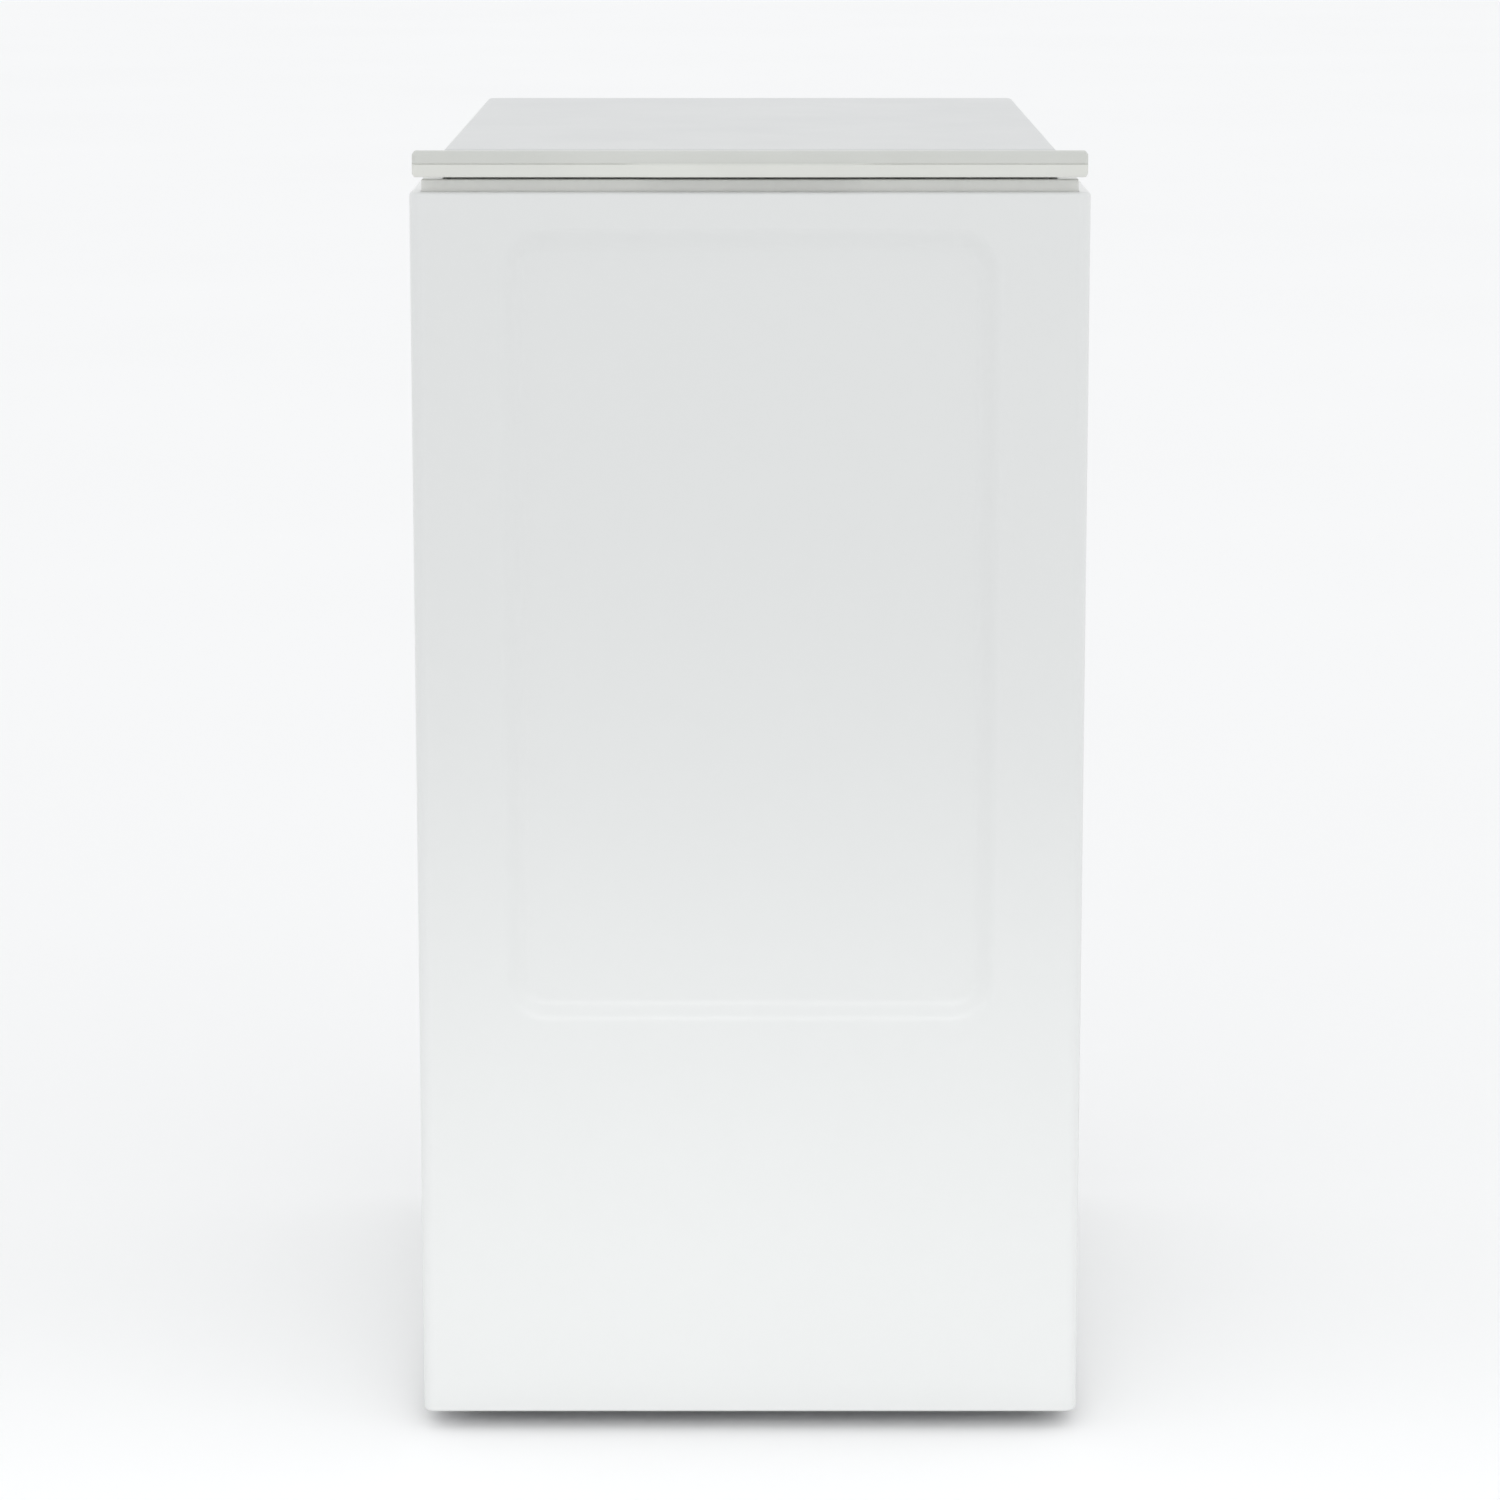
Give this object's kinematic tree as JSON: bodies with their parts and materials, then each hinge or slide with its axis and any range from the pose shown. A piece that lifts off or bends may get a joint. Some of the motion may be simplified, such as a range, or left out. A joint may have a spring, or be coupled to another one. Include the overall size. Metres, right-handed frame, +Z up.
{
  "type": "top load washing machine",
  "caption": "Narrow white top load washing machine: flat lid with a full-width grey front bar over a tall front panel with one stamped field, horizontal-axis drum inside",
  "frame": {"origin": "middle of the footprint, on the floor under the feet", "axes": "+Z up, front faces -Y, +X to the right seen from the front"},
  "size_m": [0.45, 0.6, 0.88],
  "materials": {
    "white_enamel": "smooth semi-gloss enamel",
    "rear_enamel": "satin enamel",
    "lid_enamel": "semi-gloss enamel",
    "nose_plastic": "fine satin",
    "frame_plastic": "fine satin",
    "fascia_plastic": "fine satin",
    "tray_plastic": "gloss",
    "valve_plastic": "moulded",
    "black_plastic": "moulded",
    "dial_plastic": "satin gloss",
    "hose_plastic": "satin",
    "tub_plastic": "moulded",
    "lifter_plastic": "moulded",
    "circuit_board": "lacquered",
    "zinc_steel": "galvanised",
    "spring_steel": "oiled",
    "bearing_steel": "ground",
    "stainless": "brushed",
    "cast_aluminium": "as cast",
    "motor_metal": "as cast",
    "concrete": "cast concrete",
    "black_rubber": "matt",
    "grey_rubber": "matt"
  },
  "bodies": {
    "cabinet": {"base_frame": "zinc_steel", "left_side_panel": "white_enamel", "right_side_panel": "white_enamel", "front_panel": "white_enamel", "rear_panel": "rear_enamel", "top_frame": "frame_plastic", "spring_rails": "zinc_steel", "control_panel": "fascia_plastic", "control_board": "circuit_board", "dispenser_tray": "tray_plastic", "inlet_valve": "valve_plastic", "lid_hinge_brackets": "zinc_steel", "lid_lock_housing": "black_plastic", "cord_gland": "black_plastic", "drain_hose": "hose_plastic", "drain_outlet": "black_plastic", "drain_pump": "valve_plastic", "pump_motor": "zinc_steel", "damper_cylinders": "black_plastic", "foot_lock_nuts": "zinc_steel", "panel_screws": "zinc_steel", "suspension_springs": "spring_steel", "door_bellows": "grey_rubber", "dispenser_hose": "grey_rubber", "sump_hose": "black_rubber"},
    "lid": {"lid_shell": "lid_enamel", "lid_front_handle": "nose_plastic", "lid_inner_panel": "frame_plastic", "lid_seal": "grey_rubber", "lid_strike": "black_plastic", "lid_hinge_arms": "zinc_steel"},
    "tub": {"tub_shell": "tub_plastic", "tub_end_left": "tub_plastic", "tub_end_right": "tub_plastic", "tub_collar": "tub_plastic", "shaft_bearings": "bearing_steel", "counterweight_front": "concrete", "counterweight_rear": "concrete", "heating_element": "stainless", "drive_motor": "motor_metal", "drive_belt": "black_rubber", "damper_rods": "zinc_steel"},
    "drum": {"drum_shell": "stainless", "drum_end_left": "stainless", "drum_end_right": "stainless", "drum_lifters": "lifter_plastic", "drum_pulley": "cast_aluminium"},
    "drum_door_front": {"drum_door_front": "stainless"},
    "drum_door_rear": {"drum_door_rear": "stainless"},
    "door_latch": {"door_latch": "black_plastic"},
    "motor_rotor": {"motor_pulley": "bearing_steel"},
    "pump_impeller": {"pump_impeller": "black_plastic"},
    "programme_dial": {"programme_dial": "dial_plastic"},
    "start_button": {"start_button": "dial_plastic"},
    "option_button": {"option_button": "dial_plastic"},
    "lid_lock_bolt": {"lid_lock_bolt": "black_plastic"},
    "foot_front_left": {"foot_front_left": "black_rubber"},
    "foot_front_right": {"foot_front_right": "black_rubber"},
    "foot_rear_left": {"foot_rear_left": "black_rubber"},
    "foot_rear_right": {"foot_rear_right": "black_rubber"}
  },
  "joints": [
    {"name": "lid_hinge", "type": "hinge", "parent": "cabinet", "child": "lid", "pos_m": [0, 0.272, 0.866], "axis": [-1, 0, 0], "range_deg": [0, 90]},
    {"name": "tub_suspension", "type": "slide", "parent": "cabinet", "child": "tub", "axis": [0, 0, 1], "range_m": [-0.012, 0.012], "stiffness_N_per_m": 20000, "springref_m": 0.01892, "deforming": ["suspension_springs", "door_bellows", "dispenser_hose", "sump_hose"]},
    {"name": "drum_spin", "type": "hinge", "parent": "tub", "child": "drum", "pos_m": [0, -0.03, 0.46], "axis": [1, 0, 0], "range_deg": [-360, 360]},
    {"name": "front_door_hinge", "type": "hinge", "parent": "drum", "child": "drum_door_front", "pos_m": [0, -0.14931, 0.65546], "axis": [1, 0, 0], "range_deg": [0, 80]},
    {"name": "rear_door_hinge", "type": "hinge", "parent": "drum", "child": "drum_door_rear", "pos_m": [0, 0.08931, 0.65546], "axis": [-1, 0, 0], "range_deg": [0, 80]},
    {"name": "door_latch_slide", "type": "slide", "parent": "drum_door_front", "child": "door_latch", "axis": [0, 1, 0], "range_m": [0, 0.006]},
    {"name": "motor_spin", "type": "hinge", "parent": "tub", "child": "motor_rotor", "pos_m": [0, -0.03, 0.13], "axis": [1, 0, 0], "range_deg": [-4680, 4680]},
    {"name": "impeller_spin", "type": "hinge", "parent": "cabinet", "child": "pump_impeller", "pos_m": [-0.1, -0.15, 0.07], "axis": [0, 1, 0], "continuous": true},
    {"name": "dial_turn", "type": "hinge", "parent": "cabinet", "child": "programme_dial", "pos_m": [0.095, 0.228, 0.858], "axis": [0, 0, 1], "continuous": true},
    {"name": "start_button_press", "type": "slide", "parent": "cabinet", "child": "start_button", "axis": [0, 0, -1], "range_m": [0, 0.002], "stiffness_N_per_m": 400, "springref_m": -0.001},
    {"name": "option_button_press", "type": "slide", "parent": "cabinet", "child": "option_button", "axis": [0, 0, -1], "range_m": [0, 0.002], "stiffness_N_per_m": 400, "springref_m": -0.001},
    {"name": "lid_lock_slide", "type": "slide", "parent": "cabinet", "child": "lid_lock_bolt", "axis": [-1, 0, 0], "range_m": [0, 0.014]},
    {"name": "foot_front_left_turn", "type": "hinge", "parent": "cabinet", "child": "foot_front_left", "pos_m": [-0.19, -0.238, 0.0035], "axis": [0, 0, 1], "continuous": true},
    {"name": "foot_front_right_turn", "type": "hinge", "parent": "cabinet", "child": "foot_front_right", "pos_m": [0.19, -0.238, 0.0035], "axis": [0, 0, 1], "continuous": true},
    {"name": "foot_rear_left_turn", "type": "hinge", "parent": "cabinet", "child": "foot_rear_left", "pos_m": [-0.19, 0.248, 0.0035], "axis": [0, 0, 1], "continuous": true},
    {"name": "foot_rear_right_turn", "type": "hinge", "parent": "cabinet", "child": "foot_rear_right", "pos_m": [0.19, 0.248, 0.0035], "axis": [0, 0, 1], "continuous": true}
  ],
  "couplings": [
    {"joint": "motor_spin", "follows": "drum_spin", "ratio": 13}
  ]
}
